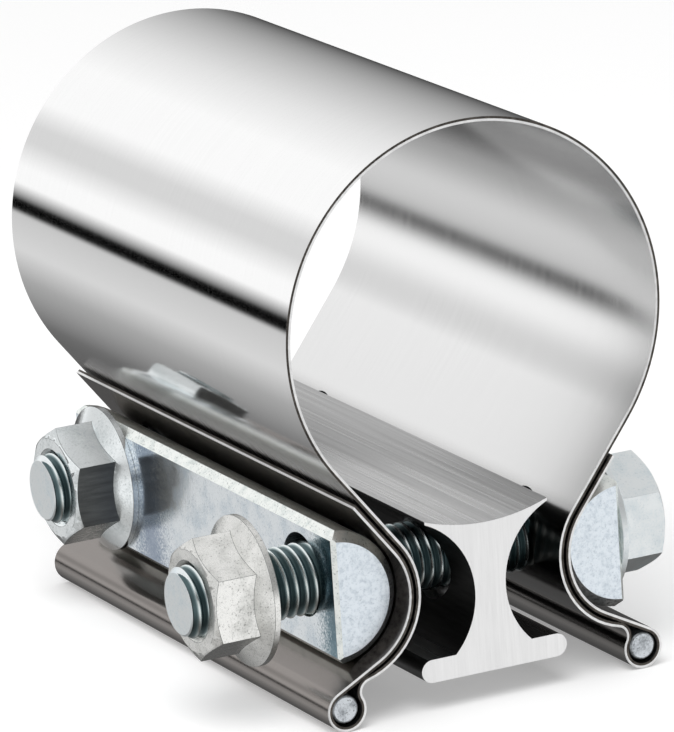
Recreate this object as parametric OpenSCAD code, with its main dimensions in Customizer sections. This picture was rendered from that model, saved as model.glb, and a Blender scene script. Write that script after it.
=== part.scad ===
// Butt joint exhaust clamp: a polished band folded into two ears, each ear wrapped round a
// half-round bar and hooked on a pin, with a grooved spacer block and two bolts between the bars.
// Origin: centre of the pipe bore, half way along the band. +Y runs along the pipe, +Z up,
// and the bolts lie along X with their nuts on the -X side.

/* [Pipe and band] */
// Outer diameter of the pipes that the clamp joins
pipe_d = 65; // [50:0.5:90]
// How much larger than the pipe the open band's bore is
pipe_slip = 1; // [0.2:0.1:1.4]
// Thickness of the band's sheet
band_t = 0.8; // [0.6:0.1:1]
// Length of the band along the pipe
band_len = 106; // [90:1:120]

/* [Ears] */
// Flat run of the band between its ring and each ear
ear_run = 17.2; // [14:0.2:24]
// Gap between each ear and the spacer's neck with the nuts loose
open_gap = 9.8; // [7:0.2:12]
// Gap between the two layers of an ear
fold_gap = 0.5; // [0.3:0.1:0.8]
// How far the folded-back layer reaches up the flat run
edge_run = 11; // [4:0.5:13]
// Inside bend radius where an ear's outer layer turns into its pin loop
throat_r = 1.8; // [1.2:0.1:3]
// Straight length of the inner layer between the bar and the pin loop
loop_run = 9; // [7:0.2:12]
// How far the pin loop lies outboard of the bar's flat
loop_out = 0.9; // [0:0.1:2]

/* [Pins] */
// Diameter of the pin in each loop
pin_d = 4.8; // [4:0.1:5.4]
// How much wider the loop's radius is than the pin's
pin_slack = 0.3; // [0.15:0.05:0.5]
// How far each pin's ends stop short of the band's edges
pin_recess = 0.4; // [0:0.1:2]

/* [Bars] */
// Radius of the half-round bars
bar_r = 11.3; // [10:0.1:13]
// Gap between a bar and the layer of band round it
bar_gap = 0.3; // [0.2:0.05:0.5]
// How far each bar's ends stop short of the band's edges
bar_recess = 3.4; // [1:0.1:6]
// Chamfer round the curved edge of a bar's ends
bar_chamfer = 1.6; // [0.5:0.1:2.5]
// Chamfer along the flat's edge of a bar's ends
flat_chamfer = 0.7; // [0.3:0.1:1.5]
// Chamfer along the two long edges of a bar's flat
edge_chamfer = 1.4; // [0.5:0.1:2.5]

/* [Spacer block] */
// Width of the spacer's neck
neck_w = 5.6; // [4:0.2:8]
// Width of the spacer under the pipe
saddle_w = 22.4; // [18:0.2:24]
// Gap between the spacer's saddle and the band's bore
saddle_gap = 0.1; // [0.05:0.05:0.5]
// Upright edge below each corner of the saddle
saddle_land = 0.5; // [0.3:0.1:1.5]
// Width of the spacer's foot over its round lips
foot_w = 26.6; // [24:0.2:30]
// Thickness of the foot
foot_t = 3.9; // [3:0.1:5]
// Depth of the foot's underside below the middle of the side grooves
foot_drop = 13.8; // [12.8:0.2:18]
// How much larger than the ears the side grooves are
nest_gap = 0.2; // [0.1:0.05:0.5]
// How far the spacer's ends stop short of the band's edges
spacer_recess = 0.2; // [0:0.1:3]

/* [Bolts and nuts] */
// Thread diameter
bolt_d = 12; // [10:0.5:13]
// Distance of each bolt from the nearer end of the band
bolt_inset = 15.5; // [13:0.5:22]
// Height of the bolts' holes above the middle of the bars
bolt_rise = 1.6; // [0:0.1:3]
// How much larger than the bolts their holes are
hole_play = 2; // [1:0.1:3]
// Gap between a bolt and the lower side of its holes
seat_gap = 0.3; // [0.1:0.05:0.5]
// How far the front nut stands off its bar, and the rear bolt's head off its own
loose_run = 10; // [4:0.1:14]
// Length of thread that shows past each nut
thread_proud = 2.3; // [0.5:0.1:6]
// Width of the hexagons across their flats
hex_af = 18; // [16:0.5:20]
// Height of a nut with its flange
nut_h = 10; // [8:0.5:13]
// Height of a bolt's head with its flange
head_h = 10; // [8:0.5:13]
// Diameter of the flanges
flange_d = 25; // [23:0.5:28]
// Thickness of a flange's rim
rim_t = 1; // [0.6:0.1:1.6]
// Radial play of a nut on its bolt
thread_play = 0.05; // [0.02:0.01:0.08]

/* [Hidden] */
$fn = 128;

// Overrun of every cut
over = 1;
// How far the runs and throats of the strip lap into the bends beside them
lap = 0.06;
// How much thinner, on each side, the runs and throats are than those bends
lap_step = 0.004;
// Widest angle of one facet of the wedges that cut the bends, and how far past a bend they reach
wedge_turn = 40;
wedge_reach_share = 2;

// Ring and ears, by the middle of the sheet
joint_t = band_t - 2 * lap_step;
bore_r = (pipe_d + pipe_slip) / 2;
ring_mid = bore_r + band_t / 2;
inner_mid = bar_r + bar_gap + band_t / 2;
outer_mid = inner_mid + band_t + fold_gap;
ear_r = outer_mid + band_t / 2;
ear_x = neck_w / 2 + open_gap + ear_r;
ear_dist = norm([ring_mid + outer_mid, ear_run]);
ear_z = -sqrt(pow(ear_dist, 2) - pow(ear_x, 2));
ear = [-ear_x, ear_z];

// Pin loop and the bends that lead into it
pin_r = pin_d / 2;
loop_mid = pin_r + pin_slack + band_t / 2;
throat_mid = throat_r + band_t / 2;
loop_dist = norm([inner_mid + loop_mid, loop_run]);
loop = ear + [-loop_out, -sqrt(pow(loop_dist, 2) - pow(loop_out, 2))];
throat_reach = outer_mid + throat_mid;
throat_along = (pow(throat_reach, 2) - pow(loop_mid + throat_mid, 2) + pow(loop_dist, 2)) / (2 * loop_dist);
throat_aside = sqrt(pow(throat_reach, 2) - pow(throat_along, 2));
loop_way = bearing(ear, loop);
throat = ear + throat_along * unit(loop_way) + throat_aside * unit(loop_way + 90);

// Directions of the points where the strip's stretches meet
leave_ring = bearing([0, 0], ear) - acos((ring_mid + outer_mid) / ear_dist);
enter_ear = leave_ring + 180;
leave_inner = loop_way + acos((inner_mid + loop_mid) / loop_dist);
leave_outer = bearing(ear, throat);
enter_loop = bearing(throat, loop);
// The pin is drawn up against the top of its loop, towards the pull of the inner layer
pin_seat_share = 0.85;
pin_at = loop + pin_seat_share * pin_slack * unit(leave_inner + 180);

// Spacer
neck_r = ear_r + nest_gap;
groove_x = neck_w / 2 + neck_r;
saddle_r = bore_r + saddle_gap;
saddle_z = -sqrt(pow(saddle_r, 2) - pow(saddle_w / 2, 2));
groove_z = saddle_z - saddle_land - sqrt(pow(neck_r, 2) - pow(groove_x - saddle_w / 2, 2));
foot_z = groove_z - foot_drop;

// Bolts
bolt_r = bolt_d / 2;
hole_r = bolt_r + hole_play / 2;
hole_z = ear_z + bolt_rise;
bolt_y = band_len / 2 - bolt_inset;
bolt_z = hole_z - hole_play / 2 + seat_gap;
spacer_hole_z = bolt_z - hole_play / 2 + seat_gap;
bolt_len = 2 * ear_x + loose_run + nut_h + thread_proud;
hex_r = hex_af / 2 / cos(30);
flange_r = flange_d / 2;
// Shares of the hexagon's width and of the thread's diameter
hex_face_share = 0.95;
cone_top_share = 0.94;
thread_chamfer_share = 0.06;
chamfer_slope_share = 0.58;

function unit(a) = [cos(a), sin(a)];
function bearing(p, q) = atan2(q[1] - p[1], q[0] - p[0]);

// A wedge from c that covers the directions a0 to a1 out to past radius r
module wedge(c, r, a0, a1) {
  steps = ceil((a1 - a0) / wedge_turn);
  polygon([c, for (i = [0:steps]) c + wedge_reach_share * r * unit(a0 + (a1 - a0) * i / steps)]);
}

// A stretch of the strip, t thick, along an arc of middle radius r
module bend(c, r, a0, a1, t = band_t) {
  intersection() {
    difference() {
      translate(c) circle(r + t / 2);
      translate(c) circle(r - t / 2);
    }
    wedge(c, r, a0, a1);
  }
}

// A straight stretch of the strip from p to q
module run(p, q) {
  translate((p + q) / 2)
    rotate(bearing(p, q))
      square([norm(q - p) + 2 * lap, joint_t], center = true);
}

// One ear's two layers, from the ring round the bar, round the pin and back up
module ear_strip() {
  run(ring_mid * unit(leave_ring), ear + outer_mid * unit(enter_ear));
  bend(ear, outer_mid, leave_outer, enter_ear);
  throat_lap = lap / throat_mid * 180 / PI;
  bend(throat, throat_mid, leave_outer + 180 - throat_lap, enter_loop + 360 + throat_lap, joint_t);
  bend(loop, loop_mid, leave_inner - 180, enter_loop + 180);
  run(loop + loop_mid * unit(leave_inner + 180), ear + inner_mid * unit(leave_inner));
  bend(ear, inner_mid, leave_inner, enter_ear);
  edge_from = ear + inner_mid * unit(enter_ear);
  run(edge_from, edge_from + edge_run * unit(enter_ear + 90));
}

// Stands a profile drawn in X and Z along the pipe, l long and centred
module along_pipe(l) {
  rotate([90, 0, 0]) linear_extrude(height = l, center = true) children();
}

// Bolt holes across the clamp at height z
module bolt_holes(z) {
  for (y = [-bolt_y, bolt_y])
    translate([0, y, z])
      rotate([0, 90, 0])
        cylinder(h = 2 * (ear_x + over), r = hole_r, center = true);
}

module band() {
  color("gainsboro")
    difference() {
      along_pipe(band_len) {
        bend([0, 0], ring_mid, -180 - leave_ring, leave_ring + 360);
        ear_strip();
        mirror([1, 0]) ear_strip();
      }
      bolt_holes(hole_z);
    }
}

// Left bar; its flat faces outwards, and its ends and long edges are chamfered
module bar() {
  bar_len = band_len - 2 * bar_recess;
  half = bar_len / 2;
  difference() {
    translate([-ear_x, 0, ear_z])
      intersection() {
        rotate([90, 0, 0])
          rotate_extrude()
            polygon([[0, -half], [bar_r - bar_chamfer, -half], [bar_r, bar_chamfer - half],
                     [bar_r, half - bar_chamfer], [bar_r - bar_chamfer, half], [0, half]]);
        linear_extrude(height = 2 * (bar_r + over), center = true)
          polygon([[0, flat_chamfer - half], [flat_chamfer, -half], [bar_r + over, -half],
                   [bar_r + over, half], [flat_chamfer, half], [0, half - flat_chamfer]]);
        along_pipe(bar_len + 2 * over)
          polygon([[0, edge_chamfer - bar_r], [edge_chamfer + over, -bar_r - over],
                   [bar_r + over, -bar_r - over], [bar_r + over, bar_r + over],
                   [edge_chamfer + over, bar_r + over], [0, bar_r - edge_chamfer]]);
      }
    bolt_holes(hole_z);
  }
}

module left_bar() {
  color("lightsteelblue") bar();
}

module right_bar() {
  color("lightsteelblue") mirror([1, 0, 0]) bar();
}

module pin() {
  translate([pin_at[0], 0, pin_at[1]])
    rotate([90, 0, 0])
      cylinder(h = band_len - 2 * pin_recess, r = pin_r, center = true);
}

module left_pin() {
  color("silver") pin();
}

module right_pin() {
  color("silver") mirror([1, 0, 0]) pin();
}

// The extrusion's section: a waist between two grooves, a saddle on top and a lipped foot
module spacer_section() {
  lip_x = (foot_w - foot_t) / 2;
  difference() {
    translate([-saddle_w / 2, foot_z]) square([saddle_w, saddle_z - foot_z]);
    for (x = [-groove_x, groove_x]) translate([x, groove_z]) circle(neck_r);
    circle(saddle_r);
  }
  translate([-lip_x, foot_z]) square([2 * lip_x, foot_t]);
  for (x = [-lip_x, lip_x]) translate([x, foot_z + foot_t / 2]) circle(foot_t / 2);
}

module spacer_block() {
  color("whitesmoke")
    difference() {
      along_pipe(band_len - 2 * spacer_recess) spacer_section();
      bolt_holes(spacer_hole_z);
    }
}

// A hexagon h high with a chamfered face on a sloping flange, seated at the origin and facing +X
module flanged_hex(h) {
  face_r = hex_af / 2 * hex_face_share;
  corner_drop = (hex_r - face_r) * chamfer_slope_share;
  cone_r = hex_af / 2 * cone_top_share;
  cone_h = rim_t + (flange_r - cone_r) * chamfer_slope_share;
  rotate([0, 90, 0]) {
    intersection() {
      cylinder(h = h, r = hex_r, $fn = 6);
      rotate_extrude()
        polygon([[0, 0], [hex_r + over, 0], [hex_r + over, h - corner_drop - over * chamfer_slope_share],
                 [face_r, h], [0, h]]);
    }
    rotate_extrude()
      polygon([[0, 0], [flange_r, 0], [flange_r, rim_t], [cone_r, cone_h], [0, cone_h]]);
  }
}

// A nut seated at x, facing -X, on the bolt at y
module nut(x, y) {
  bore = bolt_r + thread_play;
  sink = bolt_d * thread_chamfer_share;
  translate([x, y, bolt_z])
    mirror([1, 0, 0])
      difference() {
        flanged_hex(nut_h);
        rotate([0, 90, 0])
          rotate_extrude()
            polygon([[0, -over], [bore, -over], [bore, nut_h - sink], [bore + sink + over, nut_h + over],
                     [0, nut_h + over]]);
      }
}

// A bolt with its head seated at x, on the +X side, at y
module bolt(x, y) {
  tip = bolt_d * thread_chamfer_share;
  translate([x, y, bolt_z]) {
    flanged_hex(head_h);
    rotate([0, -90, 0])
      rotate_extrude()
        polygon([[0, -rim_t], [bolt_r, -rim_t], [bolt_r, bolt_len - tip], [bolt_r - tip, bolt_len],
                 [0, bolt_len]]);
  }
}

module front_bolt() {
  color("azure") bolt(ear_x, -bolt_y);
}

module rear_bolt() {
  color("azure") bolt(ear_x + loose_run, bolt_y);
}

module front_nut() {
  color("white") nut(-ear_x - loose_run, -bolt_y);
}

module rear_nut() {
  color("white") nut(-ear_x, bolt_y);
}

band();
left_bar();
right_bar();
left_pin();
right_pin();
spacer_block();
front_bolt();
rear_bolt();
front_nut();
rear_nut();
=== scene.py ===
"""The butt joint exhaust clamp, dressed: polished band, plated bars, bolts and nuts, brushed spacer."""

import math

import bpy
from mathutils import Matrix, Vector


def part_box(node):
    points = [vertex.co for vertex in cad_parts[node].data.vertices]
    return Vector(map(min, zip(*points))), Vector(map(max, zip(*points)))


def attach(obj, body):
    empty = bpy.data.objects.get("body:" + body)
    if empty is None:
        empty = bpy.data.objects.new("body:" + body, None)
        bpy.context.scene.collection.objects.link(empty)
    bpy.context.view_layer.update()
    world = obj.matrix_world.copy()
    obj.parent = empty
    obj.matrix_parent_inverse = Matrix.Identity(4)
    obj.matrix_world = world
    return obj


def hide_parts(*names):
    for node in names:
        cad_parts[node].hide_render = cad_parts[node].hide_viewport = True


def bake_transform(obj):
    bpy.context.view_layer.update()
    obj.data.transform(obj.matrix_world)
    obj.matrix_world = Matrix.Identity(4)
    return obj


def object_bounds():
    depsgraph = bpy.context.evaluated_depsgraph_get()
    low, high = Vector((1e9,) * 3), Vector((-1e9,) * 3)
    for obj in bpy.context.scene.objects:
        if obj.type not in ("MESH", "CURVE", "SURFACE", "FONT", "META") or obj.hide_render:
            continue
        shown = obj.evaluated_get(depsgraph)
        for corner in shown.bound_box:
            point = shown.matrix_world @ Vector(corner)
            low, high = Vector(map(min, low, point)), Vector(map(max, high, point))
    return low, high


MM = 0.001
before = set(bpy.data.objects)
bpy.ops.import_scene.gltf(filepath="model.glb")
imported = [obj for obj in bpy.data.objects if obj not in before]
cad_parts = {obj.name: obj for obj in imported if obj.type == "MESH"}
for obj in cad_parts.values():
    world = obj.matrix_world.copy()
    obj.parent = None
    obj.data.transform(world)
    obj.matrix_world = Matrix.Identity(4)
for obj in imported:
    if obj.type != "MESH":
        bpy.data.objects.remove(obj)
cad_low, cad_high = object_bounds()

# Sizes of the sheet that the frame's boxes don't give
SHEET = 0.8 * MM
BAR_GAP = 0.3 * MM
FOLD_GAP = 0.5 * MM
EDGE_RUN = 11.0 * MM
THROAT_IN = 1.8 * MM
LOOP_RUN = 9.0 * MM
LOOP_OUT = 0.9 * MM
PIN_SLACK = 0.3 * MM
HOLE_R = 7.0 * MM
HOLE_STEPS = 64
# The bolts hang this far below the middles of their holes
HOLE_RISE = 0.7 * MM
RIM_ROUND = 0.13 * MM
RING_STEP = math.radians(2.0)
BEND_STEP = math.radians(6.0)

# Places of the finishes among each piece's materials: the band's, after the side towards the pipe
OUTER_SIDE = 1
BRIGHT_EDGE = 2
# The half of each cut end away from the pipe, in painted shade
PAINTED_SHADE_EDGE = 3
# The folded-back faces behind the bars, in painted shade
FOLDED_BACK = 4
# A bar's, after its corners
BAR_END = 2
# The rounded faces towards the bar's ends that don't face up, in painted shade
BAR_RIM = 3
BAR_FLAT = 4
BAR_SATIN = 5
# The rear nut's, after its corners
# The rear nut's flat at the near end and its lower flats, in painted shade
NUT_SHADED = 2
NUT_PAINTED_LOWER = 3
# The spacer's, after its near end
SPACER_SIDE = 1
# The grooves, in painted shade
SPACER_GROOVE = 2
SPACER_FAR_END = 3

# Threads; the flats at root and crest are shares of half the pitch
PITCH = 1.75 * MM
THREAD_R = 6.0 * MM
THREAD_DEPTH = 0.94 * MM
THREAD_FLAT = 0.125
THREAD_CUTS = 7
THREAD_STEPS = 48
SPARE_TURNS = 3
HEAD_LENGTH = 10.0 * MM
HEAD_LAP = 0.2 * MM
TIP_CHAMFER = 0.9 * MM
# What a thread and its blank stand past the shank before they are cut
SPARE = 1.0 * MM

# A nut's flats are its faces larger than this
NUT_FLAT_AREA = 20 * MM**2

# The spacer's grooves carry painted shade up to this far above the bars
GROOVE_MARGIN = 0.2 * MM

# Edges that turn by more than this, in degrees, are corners: on the solids, at the sheet's rims, on a thread
CORNER_ANGLE = 30
RIM_ANGLE = 50
THREAD_ANGLE = 40

# Vertices closer than this are one, and faces that turn by less than this, in degrees, are one flat
MERGE = MM / 1000
FLAT_ANGLE = 0.5

# Broken corners of the rigid pieces
BAR_CORNER = 0.3 * MM
PIN_CORNER = 0.4 * MM
BOLT_CORNER = 0.35 * MM
NUT_CORNER = 0.28 * MM
SPACER_CORNER = 0.2 * MM

# Camera, as fitted to the photograph
VIEW_AZIMUTH = math.radians(-25.69)
VIEW_ELEVATION = math.radians(15.06)
VIEW_ROLL = math.radians(-3.78)
VIEW_DISTANCE = 1.2
VIEW_TARGET = Vector((0.52 * MM, 0, -18.40 * MM))
VIEW_FOCAL_PX = 7174
PHOTO_LONG_PX = 732
SENSOR = 36.0

# The floor: half its width, how far it lies below the clamp, and how much lighter the camera sees it
FLOOR_HALF = 4.0
FLOOR_DROP = 0.05 * MM
FLOOR_LIFT = 0.3

# The lamp
LAMP_AT = Vector((-0.25, -0.35, 0.6))
LAMP_WIDTH = 0.5
LAMP_WATTS = 3.0


def middle(node):
    low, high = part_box(node)
    return (low + high) / 2


def half(node):
    low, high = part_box(node)
    return (high - low) / 2


def flat(angle):
    """A unit vector in the plane across the pipe, angle counted from +X towards +Z."""
    return Vector((math.cos(angle), 0, math.sin(angle)))


def bearing(a, b):
    return math.atan2(b.z - a.z, b.x - a.x)


def clear_selection():
    """Leaves edit mode and deselects everything."""
    if bpy.context.mode != "OBJECT":
        bpy.ops.object.mode_set(mode="OBJECT")
    bpy.ops.object.select_all(action="DESELECT")


def work_on(piece):
    clear_selection()
    piece.select_set(True)
    bpy.context.view_layer.objects.active = piece


def edit(piece, kind="VERT"):
    """Opens a piece in edit mode with nothing selected."""
    work_on(piece)
    bpy.ops.object.mode_set(mode="EDIT")
    bpy.ops.mesh.select_mode(type=kind)
    bpy.ops.mesh.select_all(action="DESELECT")


def pick_verts(piece, test):
    """Selects the vertices that pass the test, from edit mode, and stays there."""
    bpy.ops.object.mode_set(mode="OBJECT")
    for vert in piece.data.vertices:
        vert.select = test(vert.co)
    bpy.ops.object.mode_set(mode="EDIT")


def apply_modifier(piece, kind, **values):
    work_on(piece)
    modifier = piece.modifiers.new(kind.lower(), kind)
    for key, value in values.items():
        setattr(modifier, key, value)
    bpy.ops.object.modifier_apply(modifier=modifier.name)


def settle(piece):
    """Moves a piece's place into its mesh."""
    work_on(piece)
    bpy.ops.object.transform_apply(location=True, rotation=True, scale=True)


def smooth(piece, angle=CORNER_ANGLE):
    """Smooth shading whose normals follow the large faces, so that flats look flat beside rounded corners."""
    work_on(piece)
    bpy.ops.object.shade_smooth_by_angle(angle=math.radians(angle))
    apply_modifier(piece, "WEIGHTED_NORMAL", mode="FACE_AREA", weight=100, keep_sharp=True)


def new_piece(name):
    """Names the piece that the last operator made, and its mesh."""
    piece = bpy.context.active_object
    piece.name = name
    piece.data.name = name
    return piece


# Places of the band's bends, all seen along the pipe
ring_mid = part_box("band")[1].z - SHEET / 2
band_half = half("band").y
bar_r = half("left_bar").z
ear = Vector((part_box("left_bar")[0].x, 0, middle("left_bar").z))
pin_r = half("left_pin").z
inner_mid = bar_r + BAR_GAP + SHEET / 2
outer_mid = inner_mid + SHEET + FOLD_GAP
loop_mid = pin_r + PIN_SLACK + SHEET / 2
throat_mid = THROAT_IN + SHEET / 2
origin = Vector((0, 0, 0))
leave_ring = bearing(origin, ear) - math.acos((ring_mid + outer_mid) / ear.length) + math.tau
enter_ear = leave_ring - math.pi
loop_gap = math.hypot(inner_mid + loop_mid, LOOP_RUN)
loop = ear + Vector((-LOOP_OUT, 0, -math.sqrt(loop_gap**2 - LOOP_OUT**2)))
loop_way = bearing(ear, loop)
reach = outer_mid + throat_mid
along = (reach**2 - (loop_mid + throat_mid) ** 2 + loop_gap**2) / (2 * loop_gap)
aside = math.sqrt(reach**2 - along**2)
throat = ear + flat(loop_way) * along + flat(loop_way + math.pi / 2) * aside
leave_inner = loop_way + math.acos((inner_mid + loop_mid) / loop_gap)
leave_outer = bearing(ear, throat)
enter_loop = bearing(throat, loop)
# Length of a bolt under its head
shank = 2 * half("front_bolt").x - HEAD_LENGTH


def turn(centre, angle, step=BEND_STEP):
    """Sweeps the sheet's leading edge round a centre; a positive angle turns from +X towards +Z."""
    steps = max(2, math.ceil(abs(angle) / step))
    bpy.ops.mesh.spin(steps=steps, angle=angle, center=centre, axis=(0, 1, 0))


def draw_out(start, end):
    """Draws the sheet's leading edge straight on, by the way from start to end."""
    bpy.ops.mesh.extrude_region_move(TRANSFORM_OT_translate={"value": end - start})


def make_band():
    """The whole band from one sheet: half of it is swept from the top of the ring, then mirrored."""
    clear_selection()
    bpy.ops.mesh.primitive_plane_add(size=2 * band_half, location=(0, 0, ring_mid))
    band = new_piece("band_sheet")
    for finish in (pipe_side_steel, mirror_steel, cut_bright, cut_painted_shade, folded_painted_shade):
        band.data.materials.append(finish)
    settle(band)
    edit(band)
    pick_verts(band, lambda co: co.x > 0)
    bpy.ops.mesh.delete(type="VERT")
    bpy.ops.mesh.select_all(action="SELECT")
    bpy.ops.transform.translate(value=(band_half, 0, 0))
    turn(origin, leave_ring - math.pi / 2, RING_STEP)
    draw_out(flat(leave_ring) * ring_mid, ear + flat(enter_ear) * outer_mid)
    turn(ear, leave_outer - enter_ear)
    turn(throat, enter_loop + math.pi - leave_outer)
    turn(loop, leave_inner - enter_loop - math.tau)
    draw_out(loop + flat(leave_inner + math.pi) * loop_mid, ear + flat(leave_inner) * inner_mid)
    turn(ear, enter_ear - leave_inner)
    draw_out(origin, flat(enter_ear + math.pi / 2) * EDGE_RUN)
    apply_modifier(band, "MIRROR", merge_threshold=RIM_ROUND)
    edit(band)
    bpy.ops.mesh.select_all(action="SELECT")
    bpy.ops.mesh.remove_doubles(threshold=RIM_ROUND / 10)
    bpy.ops.mesh.normals_make_consistent(inside=False)
    one_side = len(band.data.vertices)
    apply_modifier(
        band, "SOLIDIFY", thickness=SHEET, offset=0, use_even_offset=True,
        material_offset=OUTER_SIDE, material_offset_rim=BRIGHT_EDGE,
    )
    split_rims(band, one_side)
    # The pipe side's faces that turn outwards behind the bars get painted shade
    for face in band.data.polygons:
        if face.material_index == 0 and face.normal.x * face.center.x > 0:
            face.material_index = FOLDED_BACK
    cutter = make_hole_cutter()
    apply_modifier(band, "BOOLEAN", operation="DIFFERENCE", object=cutter, solver="EXACT")
    bpy.data.objects.remove(cutter)
    apply_modifier(
        band, "BEVEL", width=RIM_ROUND, segments=2, limit_method="ANGLE", angle_limit=math.radians(RIM_ANGLE)
    )
    smooth(band)
    return band


def split_rims(band, one_side):
    """Parts the cut edges at the band's ends in two, bright on the pipe's side and in painted shade on the
    other.
    """
    edit(band, "EDGE")
    bpy.ops.object.mode_set(mode="OBJECT")
    verts = band.data.vertices
    for line in band.data.edges:
        one, two = line.vertices
        line.select = abs(one - two) == one_side and abs(verts[one].co.y) > band_half - RIM_ROUND
    bpy.ops.object.mode_set(mode="EDIT")
    bpy.ops.mesh.subdivide(number_cuts=1)
    bpy.ops.object.mode_set(mode="OBJECT")
    faces = band.data.polygons
    outer = {index for face in faces if face.material_index == OUTER_SIDE for index in face.vertices}
    for face in faces:
        if face.material_index == BRIGHT_EDGE and outer.intersection(face.vertices):
            face.material_index = PAINTED_SHADE_EDGE


def make_hole_cutter():
    """Four round cutters, one through each ear for each bolt."""
    clear_selection()
    hole_z = middle("front_bolt").z + HOLE_RISE
    cutters = []
    for side in (-1, 1):
        for bolt in ("front_bolt", "rear_bolt"):
            bpy.ops.mesh.primitive_cylinder_add(
                vertices=HOLE_STEPS, radius=HOLE_R, depth=half("left_bar").x * 4,
                location=(side * abs(ear.x), middle(bolt).y, hole_z), rotation=(0, math.pi / 2, 0),
            )
            cutters.append(bpy.context.active_object)
    clear_selection()
    for cutter in cutters:
        cutter.select_set(True)
    bpy.context.view_layer.objects.active = cutters[0]
    bpy.ops.object.join()
    return new_piece("hole_cutter")


def copy_of(node, name, finish, corner_finish, corner, segments=2):
    """A CAD node's shape as a new piece, its corners broken."""
    clear_selection()
    piece = bpy.data.objects.new(name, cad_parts[node].data.copy())
    piece.data.name = name
    piece.data.materials.clear()
    piece.data.materials.append(finish)
    piece.data.materials.append(corner_finish)
    bpy.context.scene.collection.objects.link(piece)
    edit(piece)
    bpy.ops.mesh.select_all(action="SELECT")
    bpy.ops.mesh.remove_doubles(threshold=MERGE)
    bpy.ops.mesh.dissolve_limited(angle_limit=math.radians(FLAT_ANGLE))
    bpy.ops.object.mode_set(mode="OBJECT")
    apply_modifier(
        piece, "BEVEL", width=corner, segments=segments, material=1,
        limit_method="ANGLE", angle_limit=math.radians(CORNER_ANGLE),
    )
    smooth(piece)
    return piece


def make_thread(name, x_tip, x_end, axis_at):
    """A right-hand thread along X, from x_tip to x_end."""
    clear_selection()
    length = x_end - x_tip
    turns = math.ceil(length / PITCH) + SPARE_TURNS
    bpy.ops.mesh.primitive_plane_add(size=PITCH)
    rod = new_piece(name)
    edit(rod)
    pick_verts(rod, lambda co: co.y > 0)
    bpy.ops.mesh.delete(type="VERT")
    bpy.ops.mesh.select_all(action="SELECT")
    bpy.ops.mesh.subdivide(number_cuts=THREAD_CUTS)
    bpy.ops.object.mode_set(mode="OBJECT")
    for vert in rod.data.vertices:
        share = abs(vert.co.x) / (PITCH / 2)
        raised = min(max((share - THREAD_FLAT) / (1 - 2 * THREAD_FLAT), 0), 1)
        vert.co = (vert.co.x, 0, THREAD_R - THREAD_DEPTH * (1 - raised))
    apply_modifier(
        rod, "SCREW", axis="X", screw_offset=PITCH, iterations=turns, steps=THREAD_STEPS,
        render_steps=THREAD_STEPS, use_merge_vertices=True, merge_threshold=MERGE,
    )
    edit(rod)
    bpy.ops.mesh.select_all(action="SELECT")
    bpy.ops.transform.translate(value=(-SPARE_TURNS / 2 * PITCH, 0, 0))
    for x, outer, inner in ((0, False, True), (length, True, False)):
        bpy.ops.mesh.select_all(action="SELECT")
        bpy.ops.mesh.bisect(
            plane_co=(x, 0, 0), plane_no=(1, 0, 0), use_fill=True, clear_outer=outer, clear_inner=inner,
        )
    bpy.ops.mesh.select_all(action="SELECT")
    bpy.ops.mesh.remove_doubles(threshold=MERGE)
    bpy.ops.mesh.normals_make_consistent(inside=False)
    bpy.ops.object.mode_set(mode="OBJECT")
    rod.location = (x_tip, axis_at.y, axis_at.z)
    settle(rod)
    return rod


def make_bolt(node, name):
    """A CAD bolt's head with a real thread for its shank."""
    low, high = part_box(node)
    axis_at = middle(node)
    head = copy_of(node, name, bolt_zinc, bolt_zinc, BOLT_CORNER, segments=3)
    bearing_x = low.x + shank
    edit(head)
    bpy.ops.mesh.select_all(action="SELECT")
    bpy.ops.mesh.bisect(
        plane_co=(bearing_x - HEAD_LAP, 0, 0), plane_no=(1, 0, 0), use_fill=True, clear_inner=True,
    )
    rod = make_thread(name + "_thread", low.x - SPARE, bearing_x + SPARE, axis_at)
    rod.data.materials.append(bolt_zinc)
    rod.data.materials.append(thread_zinc)
    for face in rod.data.polygons:
        face.material_index = 1
    clear_selection()
    bpy.ops.mesh.primitive_cylinder_add(
        vertices=2 * THREAD_STEPS, radius=THREAD_R + SPARE, depth=shank + 4 * SPARE,
        location=(low.x + shank / 2 + 2 * SPARE, axis_at.y, axis_at.z), rotation=(0, math.pi / 2, 0),
    )
    blank = new_piece("tip_blank")
    settle(blank)
    edit(blank, "FACE")
    bpy.ops.object.mode_set(mode="OBJECT")
    for face in blank.data.polygons:
        face.select = face.normal.x < -0.9
    bpy.ops.object.mode_set(mode="EDIT")
    bpy.ops.mesh.bevel(offset=SPARE + TIP_CHAMFER, segments=1)
    apply_modifier(rod, "BOOLEAN", operation="INTERSECT", object=blank, solver="EXACT")
    bpy.data.objects.remove(blank)
    smooth(rod, THREAD_ANGLE)
    work_on(head)
    rod.select_set(True)
    bpy.ops.object.join()
    return head


# Shader node groups and materials

# Share of the fine grain in a plated tone; the wide patches have the rest
GRAIN_SHARE = 0.35
# How much duller the darkest patches of a plate and the darkest lines of a brushed metal are
PATCH_DULLNESS = 0.12
LINE_DULLNESS = 0.08
# Heights at which the sheet's haze begins and is full
HAZE_BEGINS = -14 * MM
HAZE_FULL = -24 * MM
# A Mix node's sockets for colours
MIX_FIRST = 6
MIX_SECOND = 7
MIX_RESULT = 2


def new_group(name, inputs, outputs):
    """An empty shader node group, its input node and its output node."""
    group = bpy.data.node_groups.new(name, "ShaderNodeTree")
    for label, kind, value in inputs:
        group.interface.new_socket(name=label, in_out="INPUT", socket_type=kind).default_value = value
    for label, kind in outputs:
        group.interface.new_socket(name=label, in_out="OUTPUT", socket_type=kind)
    return group, group.nodes.new("NodeGroupInput"), group.nodes.new("NodeGroupOutput")


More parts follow.
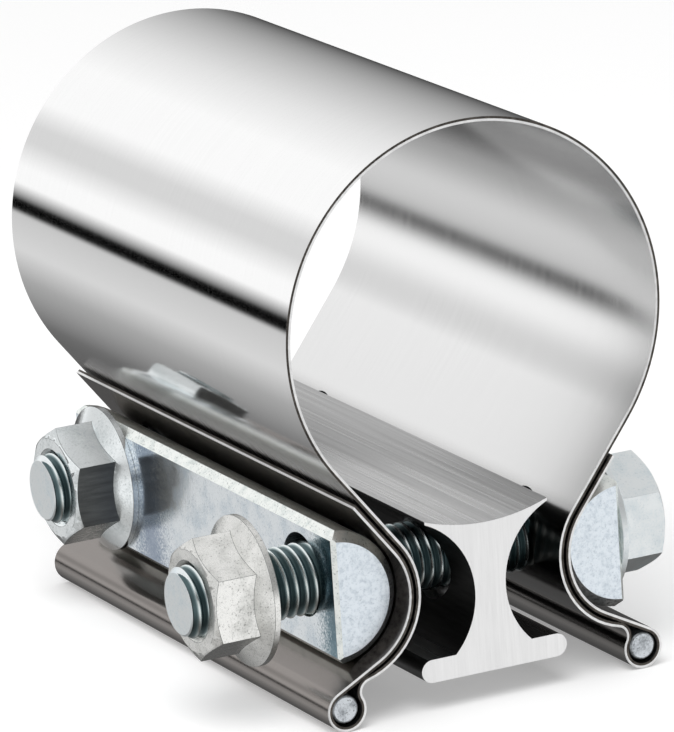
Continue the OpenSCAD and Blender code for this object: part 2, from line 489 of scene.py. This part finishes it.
def add_node(tree, kind, **values):
    """A new shader node; in_0 or in_Scale sets an input by its place or name, other values its settings."""
    made = tree.nodes.new(kind)
    for key, value in values.items():
        if key.startswith("in_"):
            socket = key[3:]
            made.inputs[int(socket) if socket.isdigit() else socket].default_value = value
        else:
            setattr(made, key, value)
    return made


def grain_group():
    """Fine grain and wide patches on a plated surface, and the grain's normal."""
    group, given, out = new_group(
        "plated_grain",
        [
            ("Scale", "NodeSocketFloat", 1.0),
            ("Patches", "NodeSocketFloat", 1.0),
            ("Bump", "NodeSocketFloat", 0.1),
        ],
        [("Tone", "NodeSocketFloat"), ("Patch", "NodeSocketFloat"), ("Normal", "NodeSocketVector")],
    )
    link = group.links.new
    place = add_node(group, "ShaderNodeTexCoord")
    fine = add_node(group, "ShaderNodeTexNoise", in_Detail=3.0, in_Roughness=0.6)
    wide = add_node(group, "ShaderNodeTexNoise", in_Detail=4.0, in_Roughness=0.55)
    link(place.outputs["Object"], fine.inputs["Vector"])
    link(place.outputs["Object"], wide.inputs["Vector"])
    link(given.outputs["Scale"], fine.inputs["Scale"])
    link(given.outputs["Patches"], wide.inputs["Scale"])
    bump = add_node(group, "ShaderNodeBump", in_Distance=0.05 * MM)
    link(fine.outputs["Fac"], bump.inputs["Height"])
    link(given.outputs["Bump"], bump.inputs["Strength"])
    link(fine.outputs["Fac"], out.inputs["Tone"])
    link(wide.outputs["Fac"], out.inputs["Patch"])
    link(bump.outputs["Normal"], out.inputs["Normal"])
    return group


def brushed_group():
    """Fine parallel lines, drawn out along one axis by the stretch."""
    group, given, out = new_group(
        "brushed_lines",
        [("Stretch", "NodeSocketVector", (1.0, 1.0, 1.0)), ("Bump", "NodeSocketFloat", 0.1)],
        [("Line", "NodeSocketFloat"), ("Normal", "NodeSocketVector")],
    )
    link = group.links.new
    place = add_node(group, "ShaderNodeTexCoord")
    scaled = add_node(group, "ShaderNodeVectorMath", operation="MULTIPLY")
    link(place.outputs["Object"], scaled.inputs[0])
    link(given.outputs["Stretch"], scaled.inputs[1])
    lines = add_node(group, "ShaderNodeTexNoise", in_Scale=1.0, in_Detail=5.0, in_Roughness=0.65)
    link(scaled.outputs["Vector"], lines.inputs["Vector"])
    bump = add_node(group, "ShaderNodeBump", in_Distance=0.03 * MM)
    link(lines.outputs["Fac"], bump.inputs["Height"])
    link(given.outputs["Bump"], bump.inputs["Strength"])
    link(lines.outputs["Fac"], out.inputs["Line"])
    link(bump.outputs["Normal"], out.inputs["Normal"])
    return group


def new_material(name, metallic=1.0):
    """A new material, its node tree and its shader."""
    material = bpy.data.materials.new(name)
    material.use_nodes = True
    tree = material.node_tree
    shader = tree.nodes["Principled BSDF"]
    shader.inputs["Metallic"].default_value = metallic
    return material, tree, shader


def ramp(tree, source, stops):
    """A colour ramp on a value: stops are (place, grey or colour)."""
    made = tree.nodes.new("ShaderNodeValToRGB")
    tree.links.new(source, made.inputs["Fac"])
    elements = made.color_ramp.elements
    while len(elements) > 1:
        elements.remove(elements[-1])
    for index, (place, tone) in enumerate(stops):
        colour = (tone, tone, tone, 1) if isinstance(tone, float) else (*tone, 1)
        element = elements[0] if index == 0 else elements.new(place)
        element.position = place
        element.color = colour
    return made.outputs["Color"]


def plated(name, scale, patches, bump, dark, light, rough, specks=0.6, painted_shade_spots=(), metallic=1.0):
    """Zinc plate: its tone and roughness follow patches and grain, with dark specks and spots of painted shade.
    """
    material, tree, shader = new_material(name, metallic)
    grain = add_node(tree, "ShaderNodeGroup", node_tree=plated_grain)
    grain.inputs["Scale"].default_value = scale
    grain.inputs["Patches"].default_value = patches
    grain.inputs["Bump"].default_value = bump
    fine_share = add_node(tree, "ShaderNodeMath", operation="MULTIPLY_ADD", in_1=GRAIN_SHARE)
    wide_share = add_node(tree, "ShaderNodeMath", operation="MULTIPLY", in_1=1 - GRAIN_SHARE)
    tree.links.new(grain.outputs["Tone"], fine_share.inputs[0])
    tree.links.new(grain.outputs["Patch"], wide_share.inputs[0])
    tree.links.new(wide_share.outputs[0], fine_share.inputs[2])
    plate = ramp(tree, fine_share.outputs[0], [(0.36, dark), (0.54, light)])
    specked = ramp(tree, grain.outputs["Tone"], [(0.30, specks), (0.40, 1.0)])
    colour = product(tree, plate, specked)
    # Spots of painted shade, each darkest at one place along the pipe
    for place, reach, tint in painted_shade_spots:
        colour = product(tree, colour, painted_shade_at(tree, grain.outputs["Tone"], place * MM, reach * MM, tint))
    tree.links.new(colour, shader.inputs["Base Color"])
    dulled = ramp(tree, fine_share.outputs[0], [(0.36, rough + PATCH_DULLNESS), (0.58, rough)])
    tree.links.new(dulled, shader.inputs["Roughness"])
    tree.links.new(grain.outputs["Normal"], shader.inputs["Normal"])
    return material


def product(tree, one, two):
    """One colour multiplied by another."""
    mixed = add_node(tree, "ShaderNodeMix", data_type="RGBA", blend_type="MULTIPLY")
    mixed.inputs["Factor"].default_value = 1.0
    tree.links.new(one, mixed.inputs[MIX_FIRST])
    tree.links.new(two, mixed.inputs[MIX_SECOND])
    return mixed.outputs[MIX_RESULT]


def painted_shade_at(tree, tone, place, reach, tint):
    """Painted shade that is strongest at one place along the pipe, its border broken up by the grain."""
    away = add_node(tree, "ShaderNodeMath", operation="SUBTRACT", in_1=place)
    tree.links.new(object_axis(tree, "Y"), away.inputs[0])
    distance = add_node(tree, "ShaderNodeMath", operation="ABSOLUTE")
    tree.links.new(away.outputs[0], distance.inputs[0])
    broken = add_node(tree, "ShaderNodeMath", operation="MULTIPLY_ADD", in_1=reach * 2.4)
    tree.links.new(tone, broken.inputs[0])
    tree.links.new(distance.outputs[0], broken.inputs[2])
    reached = share_between(tree, broken.outputs[0], reach * 2.5, reach * 1.3)
    return ramp(tree, reached, [(0.0, 1.0), (1.0, tint)])


def object_axis(tree, axis):
    """A place on the piece along one axis, in metres."""
    place = add_node(tree, "ShaderNodeTexCoord")
    axes = add_node(tree, "ShaderNodeSeparateXYZ")
    tree.links.new(place.outputs["Object"], axes.inputs[0])
    return axes.outputs[axis]


def share_between(tree, source, start, end):
    """0 at start, 1 at end, smooth between them."""
    made = add_node(tree, "ShaderNodeMapRange", interpolation_type="SMOOTHSTEP", in_1=start, in_2=end)
    tree.links.new(source, made.inputs[0])
    return made.outputs[0]


def polished(name, dark, light, smoothest, dullest, painted_shade_washes=(), haze=0.0):
    """Polished sheet with the faintest drawn lines round it.

    Each wash darkens it with painted shade from one height to another, and haze makes it duller below the ring.
    """
    material, tree, shader = new_material(name)
    lines = add_node(tree, "ShaderNodeGroup", node_tree=brushed_lines)
    lines.inputs["Stretch"].default_value = (60.0, 2600.0, 60.0)
    lines.inputs["Bump"].default_value = 0.02
    sheen = ramp(tree, lines.outputs["Line"], [(0.2, dark), (0.8, light)])
    # Painted shade, darkening the sheet from one height to another
    for start, end, tint in painted_shade_washes:
        reached = share_between(tree, object_axis(tree, "Z"), start * MM, end * MM)
        sheen = product(tree, sheen, ramp(tree, reached, [(0.0, 1.0), (1.0, tint)]))
    tree.links.new(sheen, shader.inputs["Base Color"])
    hazy = add_node(tree, "ShaderNodeMath", operation="MULTIPLY_ADD", in_1=haze)
    tree.links.new(share_between(tree, object_axis(tree, "Z"), HAZE_BEGINS, HAZE_FULL), hazy.inputs[0])
    tree.links.new(ramp(tree, lines.outputs["Line"], [(0.2, smoothest), (0.8, dullest)]), hazy.inputs[2])
    tree.links.new(hazy.outputs[0], shader.inputs["Roughness"])
    return material


def threaded(name):
    """Plated thread: painted shade in its roots, the plain plate on its crests."""
    material, tree, shader = new_material(name)
    place = add_node(tree, "ShaderNodeTexCoord")
    folded = add_node(tree, "ShaderNodeVectorMath", operation="ABSOLUTE")
    tree.links.new(place.outputs["Object"], folded.inputs[0])
    centred = add_node(tree, "ShaderNodeVectorMath", operation="ADD")
    centred.inputs[1].default_value = (0.0, -middle("rear_bolt").y, middle("rear_bolt").z)
    tree.links.new(folded.outputs[0], centred.inputs[0])
    across = add_node(tree, "ShaderNodeVectorMath", operation="MULTIPLY")
    across.inputs[1].default_value = (0.0, 1.0, 1.0)
    tree.links.new(centred.outputs[0], across.inputs[0])
    radius = add_node(tree, "ShaderNodeVectorMath", operation="LENGTH")
    tree.links.new(across.outputs[0], radius.inputs[0])
    root, top = THREAD_R - THREAD_DEPTH * 0.6, THREAD_R - THREAD_DEPTH * 0.1
    crest = share_between(tree, radius.outputs["Value"], root, top)
    # Painted shade in the roots, the plain plate on the crests
    root_painted_shade = ramp(
        tree, crest, [(0.0, (0.10, 0.15, 0.16)), (0.7, (0.34, 0.43, 0.44)), (1.0, (0.82, 0.88, 0.88))]
    )
    tree.links.new(root_painted_shade, shader.inputs["Base Color"])
    tree.links.new(ramp(tree, crest, [(0.0, 0.38), (1.0, 0.2)]), shader.inputs["Roughness"])
    return material


def brushed_metal(name, stretch, bump, dark, light, rough, metallic=1.0):
    """Brushed, sawn or drawn metal: parallel lines in its colour, roughness and normal."""
    material, tree, shader = new_material(name, metallic)
    lines = add_node(tree, "ShaderNodeGroup", node_tree=brushed_lines)
    lines.inputs["Stretch"].default_value = stretch
    lines.inputs["Bump"].default_value = bump
    line = lines.outputs["Line"]
    tree.links.new(ramp(tree, line, [(0.3, dark), (0.7, light)]), shader.inputs["Base Color"])
    dulled = ramp(tree, line, [(0.3, rough + LINE_DULLNESS), (0.7, rough)])
    tree.links.new(dulled, shader.inputs["Roughness"])
    tree.links.new(lines.outputs["Normal"], shader.inputs["Normal"])
    return material


plated_grain = grain_group()
brushed_lines = brushed_group()

# The sheet: away from the pipe, towards it, folded back behind the bars, and its cut ends
# Painted shade darkens the outer side below the ring
mirror_steel = polished(
    "polished_steel", dark=0.93, light=0.97, smoothest=0.05, dullest=0.09,
    painted_shade_washes=[(-15, -30, (0.42, 0.41, 0.405))], haze=0.2,
)
# Painted shade darkens the pipe side low by the ears and towards the top of the ring
pipe_side_steel = polished(
    "pipe_side_steel", dark=0.90, light=0.95, smoothest=0.15, dullest=0.22,
    painted_shade_washes=[(-32, -38, (0.13, 0.122, 0.116)), (11, 19, (0.34, 0.34, 0.34))],
)
# Painted shade all over the folded-back faces
folded_painted_shade = polished(
    "folded_painted_shade", dark=(0.27, 0.248, 0.234), light=(0.285, 0.261, 0.247), smoothest=0.15, dullest=0.22
)
cut_bright = brushed_metal(
    "cut_bright", stretch=(900.0, 200.0, 900.0), bump=0.1, dark=0.74, light=0.90, rough=0.3
)
# Painted shade on the half of each cut end away from the pipe
cut_painted_shade = brushed_metal(
    "cut_painted_shade", stretch=(900.0, 200.0, 900.0), bump=0.2,
    dark=(0.05, 0.045, 0.04), light=(0.16, 0.145, 0.13), rough=0.5,
)

# The bars
# The flat faces carry two spots of painted shade beside the bolts
bar_flat_zinc = plated(
    "bar_flat_zinc", scale=2800.0, patches=260.0, bump=0.22,
    dark=(0.76, 0.85, 0.92), light=(0.92, 0.97, 1.0), rough=0.13, specks=0.8,
    painted_shade_spots=[(-48.0, 5.0, (0.20, 0.30, 0.34)), (21.0, 7.0, (0.40, 0.45, 0.54))],
)
bar_zinc = plated(
    "bar_zinc", scale=3200.0, patches=500.0, bump=0.4,
    dark=(0.80, 0.86, 0.84), light=(0.97, 1.0, 0.97), rough=0.28, specks=0.4,
)
bar_end_zinc = plated(
    "bar_end_zinc", scale=3600.0, patches=1600.0, bump=0.6,
    dark=(0.72, 0.80, 0.87), light=(0.86, 0.93, 0.99), rough=0.32, specks=0.85,
)
bar_satin_zinc = plated(
    "bar_satin_zinc", scale=2800.0, patches=260.0, bump=0.22,
    dark=(0.72, 0.80, 0.86), light=(0.88, 0.93, 0.97), rough=0.34, specks=0.8, metallic=0.5,
)
# Painted shade on the bar's rounded faces towards its ends that don't face up
bar_rim_painted_shade = plated(
    "bar_rim_painted_shade", scale=3000.0, patches=1400.0, bump=0.5,
    dark=(0.24, 0.26, 0.28), light=(0.56, 0.60, 0.62), rough=0.36,
)

# The bolts and nuts
bolt_zinc = plated(
    "bolt_zinc", scale=2600.0, patches=300.0, bump=0.15,
    dark=(0.86, 0.93, 0.96), light=(0.95, 0.99, 1.0), rough=0.42, specks=0.9,
)
thread_zinc = threaded("thread_zinc")
warm_zinc = plated(
    "warm_zinc", scale=3600.0, patches=260.0, bump=0.4,
    dark=(0.67, 0.675, 0.65), light=(0.93, 0.93, 0.905), rough=0.26, specks=0.45,
)
silver_zinc = plated(
    "silver_zinc", scale=2600.0, patches=160.0, bump=0.12,
    dark=(0.74, 0.79, 0.80), light=(0.92, 0.96, 0.97), rough=0.14, specks=0.8,
)
# Painted shade on the rear nut's flat at the near end
shaded_zinc = brushed_metal(
    "shaded_zinc", stretch=(160.0, 900.0, 1500.0), bump=0.06,
    dark=(0.115, 0.115, 0.112), light=(0.17, 0.17, 0.163), rough=0.28,
)
# Painted shade on the rear nut's lower flats
lower_flat_painted_shade = plated(
    "lower_flat_painted_shade", scale=2600.0, patches=900.0, bump=0.2,
    dark=(0.46, 0.51, 0.52), light=(0.60, 0.65, 0.66), rough=0.24, specks=0.8,
)
corner_zinc = plated(
    "corner_zinc", scale=2600.0, patches=400.0, bump=0.3,
    dark=(0.06, 0.07, 0.07), light=(0.24, 0.26, 0.26), rough=0.3,
)

# The pins
pin_steel = plated(
    "pin_steel", scale=3000.0, patches=500.0, bump=0.6,
    dark=(0.40, 0.43, 0.46), light=(0.76, 0.80, 0.84), rough=0.4, specks=0.5,
)
corner_steel = plated(
    "corner_steel", scale=2600.0, patches=400.0, bump=0.3,
    dark=(0.12, 0.13, 0.14), light=(0.42, 0.45, 0.47), rough=0.35,
)

# The spacer
face_aluminium = brushed_metal(
    "face_aluminium", stretch=(4200.0, 140.0, 120.0), bump=0.12, dark=0.93, light=0.98, rough=0.36
)
satin_aluminium = brushed_metal(
    "satin_aluminium", stretch=(4200.0, 140.0, 120.0), bump=0.12,
    dark=0.76, light=0.82, rough=0.42, metallic=0.45,
)
side_aluminium = brushed_metal(
    "side_aluminium", stretch=(1800.0, 12.0, 1800.0), bump=0.15, dark=0.42, light=0.60, rough=0.25
)
# Painted shade in the spacer's grooves
groove_painted_shade = brushed_metal(
    "groove_painted_shade", stretch=(400.0, 60.0, 900.0), bump=0.3, dark=0.03, light=0.07, rough=0.45
)


def dress(piece, body, node):
    """Puts a finished piece in a CAD node's stead."""
    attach(piece, body)
    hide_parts(node)


def make_bar(side):
    """A plated half-round bar; its faces that the photograph hides are satin."""
    bar = copy_of(side + "_bar", side + "_bar_plated", bar_zinc, bar_zinc, BAR_CORNER)
    for finish in (bar_end_zinc, bar_rim_painted_shade, bar_flat_zinc, bar_satin_zinc):
        bar.data.materials.append(finish)
    for face in bar.data.polygons:
        rounded = face.normal.x > 0 if side == "left" else face.normal.x < 0
        if face.normal.x > 0.98 or face.normal.y > 0.9:
            face.material_index = BAR_SATIN
        elif face.normal.x < -0.98:
            face.material_index = BAR_FLAT
        elif abs(face.normal.y) > 0.9:
            face.material_index = BAR_END
        # Rounded faces towards the ends that don't face up get painted shade
        elif abs(face.normal.y) > 0.3 and face.normal.z < 0.3 and rounded:
            face.material_index = BAR_RIM
    return bar


def shade_flats(nut):
    """Gives a nut's flat at the near end and those below it painted shade."""
    nut.data.materials.append(shaded_zinc)
    nut.data.materials.append(lower_flat_painted_shade)
    for face in nut.data.polygons:
        if face.material_index == 0 and abs(face.normal.x) < 0.02 and face.area > NUT_FLAT_AREA:
            if face.normal.y < -0.75:
                face.material_index = NUT_SHADED
            elif face.normal.z < -0.3:
                face.material_index = NUT_PAINTED_LOWER


def make_spacer():
    """The spacer: bright near end, drawn sides, grooves in painted shade and satin far end."""
    spacer = copy_of("spacer_block", "spacer_extrusion", face_aluminium, side_aluminium, SPACER_CORNER)
    spacer.data.materials.append(groove_painted_shade)
    spacer.data.materials.append(satin_aluminium)
    groove_top = bar_r + ear.z + GROOVE_MARGIN
    for face in spacer.data.polygons:
        if abs(face.normal.y) < 0.5:
            outward = face.normal.x * face.center.x > 0
            in_groove = outward and abs(face.normal.x) > 0.25 and face.center.z < groove_top
            face.material_index = SPACER_GROOVE if in_groove else SPACER_SIDE
        elif face.normal.y > 0:
            face.material_index = SPACER_FAR_END
    return spacer


# The pieces, each in its CAD node's stead

band = make_band()
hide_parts("band")
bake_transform(band)

for side in ("left", "right"):
    dress(make_bar(side), side + "_side", side + "_bar")
    pin = copy_of(side + "_pin", side + "_pin_drawn", pin_steel, corner_steel, PIN_CORNER, segments=3)
    dress(pin, side + "_side", side + "_pin")

for place, plate in (("front", warm_zinc), ("rear", silver_zinc)):
    bolt = make_bolt(place + "_bolt", place + "_bolt_threaded")
    dress(bolt, place + "_bolt", place + "_bolt")
    nut = copy_of(place + "_nut", place + "_nut_plated", plate, corner_zinc, NUT_CORNER, segments=3)
    # The rear nut's near and lower flats get painted shade
    if place == "rear":
        shade_flats(nut)
    dress(nut, place + "_nut", place + "_nut")

dress(make_spacer(), "spacer", "spacer_block")


# Floor, light and camera

# The studio behind the clamp: angles round the pipe, in degrees from +X towards +Z, and the light there
STUDIO = [
    # A soft box overhead, which fades towards the right
    (0, 0.2), (70, 0.8), (100, 1.0), (130, 1.0),
    # The gap beside it, and a strip light
    (145, 0.7), (155, 0.7), (170, 1.0), (180, 1.0),
    # A black card
    (190, 0.0), (196, 0.0),
    # A pale wall that fades into the dark below
    (198, 0.6), (220, 0.7), (240, 0.4), (275, 0.15), (340, 0.05), (360, 0.2),
]
# The studio in front of it, in the same way
ENTRANCE = [
    # A dark gap on the right, and a soft box overhead
    (0, 0.75), (20, 0.3), (45, 0.15), (90, 1.0), (120, 1.0),
    # A dark card on the left
    (140, 0.7), (160, 0.2), (172, 0.05),
    # A pale wall, the dark below, and a bright panel
    (176, 0.6), (205, 0.9), (235, 0.5), (260, 0.2), (280, 0.2), (300, 0.9), (315, 1.0), (345, 1.0), (360, 0.75),
]
# The room between those two, from below (0) to above (1)
ROOM = [
    (0.0, (0.08, 0.075, 0.07)), (0.18, (0.2, 0.19, 0.18)), (0.27, (0.64, 0.64, 0.63)),
    (0.33, (0.97, 0.97, 0.97)), (0.42, (0.97, 0.97, 0.97)), (0.52, (0.5, 0.5, 0.5)),
    (0.57, (0.78, 0.78, 0.78)), (0.66, (1.0, 1.0, 1.0)), (0.86, (0.97, 0.97, 0.97)),
    (0.95, (0.55, 0.55, 0.55)), (1.0, (0.62, 0.62, 0.62)),
]
# How far along the pipe a reflection has to point before it meets either of them, and before the room ends
WALL_BEGINS = 0.15
WALL_FULL = 0.45


def make_floor():
    """A pale floor just under the clamp, which the camera sees a little lighter than it is lit."""
    clear_selection()
    bpy.ops.mesh.primitive_plane_add(size=2 * FLOOR_HALF, location=(0, 0, cad_low.z - FLOOR_DROP))
    floor = new_piece("floor")
    floor_paint, tree, shader = new_material("floor_paint", metallic=0.0)
    shader.inputs["Base Color"].default_value = (0.78, 0.78, 0.78, 1)
    shader.inputs["Roughness"].default_value = 0.9
    shader.inputs["Specular IOR Level"].default_value = 0.1
    path = add_node(tree, "ShaderNodeLightPath")
    strength = add_node(tree, "ShaderNodeMath", operation="MULTIPLY", in_1=FLOOR_LIFT)
    tree.links.new(path.outputs["Is Camera Ray"], strength.inputs[0])
    lift = add_node(tree, "ShaderNodeEmission")
    tree.links.new(strength.outputs[0], lift.inputs["Strength"])
    both = add_node(tree, "ShaderNodeAddShader")
    tree.links.new(shader.outputs[0], both.inputs[0])
    tree.links.new(lift.outputs[0], both.inputs[1])
    tree.links.new(both.outputs[0], tree.nodes["Material Output"].inputs["Surface"])
    floor.data.materials.append(floor_paint)
    floor.visible_glossy = False


def share_round_pipe(tree, axes):
    """The angle round the pipe that a direction has, as a share of a whole turn."""
    angle = add_node(tree, "ShaderNodeMath", operation="ARCTAN2")
    tree.links.new(axes.outputs["Z"], angle.inputs[0])
    tree.links.new(axes.outputs["X"], angle.inputs[1])
    wrapped = add_node(tree, "ShaderNodeMath", operation="WRAP", in_1=math.tau, in_2=0.0)
    tree.links.new(angle.outputs[0], wrapped.inputs[0])
    share = add_node(tree, "ShaderNodeMath", operation="DIVIDE", in_1=math.tau)
    tree.links.new(wrapped.outputs[0], share.inputs[0])
    return share.outputs[0]


def make_studio():
    """The studio that the metal reflects; the camera itself sees white all round."""
    world = bpy.data.worlds.new("studio")
    bpy.context.scene.world = world
    world.use_nodes = True
    tree = world.node_tree
    way = add_node(tree, "ShaderNodeTexCoord")
    axes = add_node(tree, "ShaderNodeSeparateXYZ")
    tree.links.new(way.outputs["Generated"], axes.inputs[0])
    height = add_node(tree, "ShaderNodeMath", operation="MULTIPLY_ADD", in_1=0.5, in_2=0.5)
    tree.links.new(axes.outputs["Z"], height.inputs[0])
    room = ramp(tree, height.outputs[0], ROOM)
    share = share_round_pipe(tree, axes)
    for stops, end in ((STUDIO, 1), (ENTRANCE, -1)):
        wall = ramp(tree, share, [(angle / 360, light) for angle, light in stops])
        towards = add_node(tree, "ShaderNodeMapRange", in_1=end * WALL_BEGINS, in_2=end * WALL_FULL)
        tree.links.new(axes.outputs["Y"], towards.inputs[0])
        joined = add_node(tree, "ShaderNodeMix", data_type="RGBA")
        tree.links.new(towards.outputs[0], joined.inputs["Factor"])
        tree.links.new(room, joined.inputs[MIX_FIRST])
        tree.links.new(wall, joined.inputs[MIX_SECOND])
        room = joined.outputs[MIX_RESULT]
    seen = add_node(tree, "ShaderNodeLightPath")
    shown = add_node(tree, "ShaderNodeMix", data_type="RGBA")
    shown.inputs[MIX_SECOND].default_value = (1, 1, 1, 1)
    tree.links.new(seen.outputs["Is Camera Ray"], shown.inputs["Factor"])
    tree.links.new(room, shown.inputs[MIX_FIRST])
    tree.links.new(shown.outputs[MIX_RESULT], tree.nodes["Background"].inputs["Color"])


def make_lamp():
    """A soft round lamp, high up on the near left, for the shadows."""
    bpy.ops.object.light_add(type="AREA", location=LAMP_AT)
    lamp = bpy.context.active_object
    lamp.name = "soft_lamp"
    lamp.data.shape = "DISK"
    lamp.data.size = LAMP_WIDTH
    lamp.data.energy = LAMP_WATTS
    lamp.rotation_euler = LAMP_AT.to_track_quat("Z", "Y").to_euler()
    lamp.visible_glossy = False


def make_camera():
    """The photograph's camera, placed by its two angles and turned by its roll."""
    back = Vector((
        math.sin(VIEW_AZIMUTH) * math.cos(VIEW_ELEVATION),
        -math.cos(VIEW_AZIMUTH) * math.cos(VIEW_ELEVATION),
        math.sin(VIEW_ELEVATION),
    ))
    right = Vector((0, 0, 1)).cross(back).normalized()
    up = back.cross(right)
    rolled_right = right * math.cos(VIEW_ROLL) + up * math.sin(VIEW_ROLL)
    rolled_up = up * math.cos(VIEW_ROLL) - right * math.sin(VIEW_ROLL)
    bpy.ops.object.camera_add()
    camera = bpy.context.active_object
    camera.name = "photo_camera"
    camera.matrix_world = Matrix((
        (rolled_right.x, rolled_up.x, back.x, 0),
        (rolled_right.y, rolled_up.y, back.y, 0),
        (rolled_right.z, rolled_up.z, back.z, 0),
        (0, 0, 0, 1),
    ))
    camera.location = VIEW_TARGET + back * VIEW_DISTANCE
    camera.data.sensor_width = SENSOR
    camera.data.lens = VIEW_FOCAL_PX / PHOTO_LONG_PX * SENSOR
    camera.data.clip_end = 5 * FLOOR_HALF
    bpy.context.scene.camera = camera


make_floor()
make_studio()
make_lamp()
make_camera()
bpy.context.scene.view_settings.view_transform = "Standard"
